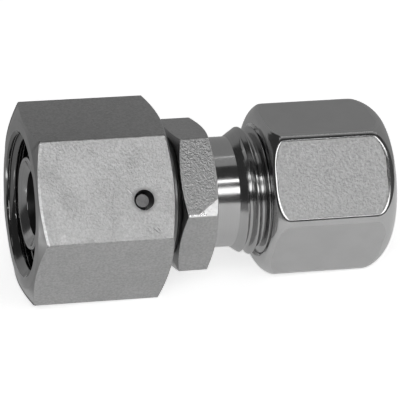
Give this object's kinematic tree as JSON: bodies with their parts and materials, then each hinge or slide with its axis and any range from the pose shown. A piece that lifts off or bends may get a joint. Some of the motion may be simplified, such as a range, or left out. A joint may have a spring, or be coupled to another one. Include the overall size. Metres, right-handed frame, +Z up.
{
  "type": "reducing compression fitting",
  "caption": "Tube fitting that steps a larger cone port down to a smaller tube, with a free-turning hexagonal swivel nut and a rounded compression nut over a cutting ring.",
  "frame": {"origin": "centre of the step that stops the small tube, on the fitting's axis", "axes": "+X along the fitting's axis, the way the small tube leaves; +Z up, square to a flat of both nuts"},
  "size_m": [0.0462, 0.0254, 0.022],
  "materials": {
    "machined_steel": "fine turned",
    "nut_steel": "fine sandy satin",
    "formed_steel": "satin with polished edges",
    "wire_steel": "drawn",
    "ring_steel": "hardened, satin",
    "seal_rubber": "matte"
  },
  "bodies": {
    "connector": {"fitting_body": "machined_steel", "o_ring": "seal_rubber"},
    "swivel": {"swivel_nut": "nut_steel", "retaining_wire": "wire_steel"},
    "ring": {"cutting_ring": "ring_steel"},
    "nut": {"compression_nut": "formed_steel"}
  },
  "joints": [
    {"name": "swivel_turn", "type": "hinge", "parent": "connector", "child": "swivel", "pos_m": [-0.0167, 0, 0], "axis": [1, 0, 0], "continuous": true},
    {"name": "ring_slide", "type": "slide", "parent": "connector", "child": "ring", "axis": [1, 0, 0], "range_m": [0, 0.00676]},
    {"name": "nut_turn", "type": "hinge", "parent": "ring", "child": "nut", "pos_m": [0.005, 0, 0], "axis": [1, 0, 0], "range_deg": [0, 1620]}
  ],
  "couplings": [
    {"joint": "ring_slide", "follows": "nut_turn", "m_per_rad": 0.00023873}
  ]
}
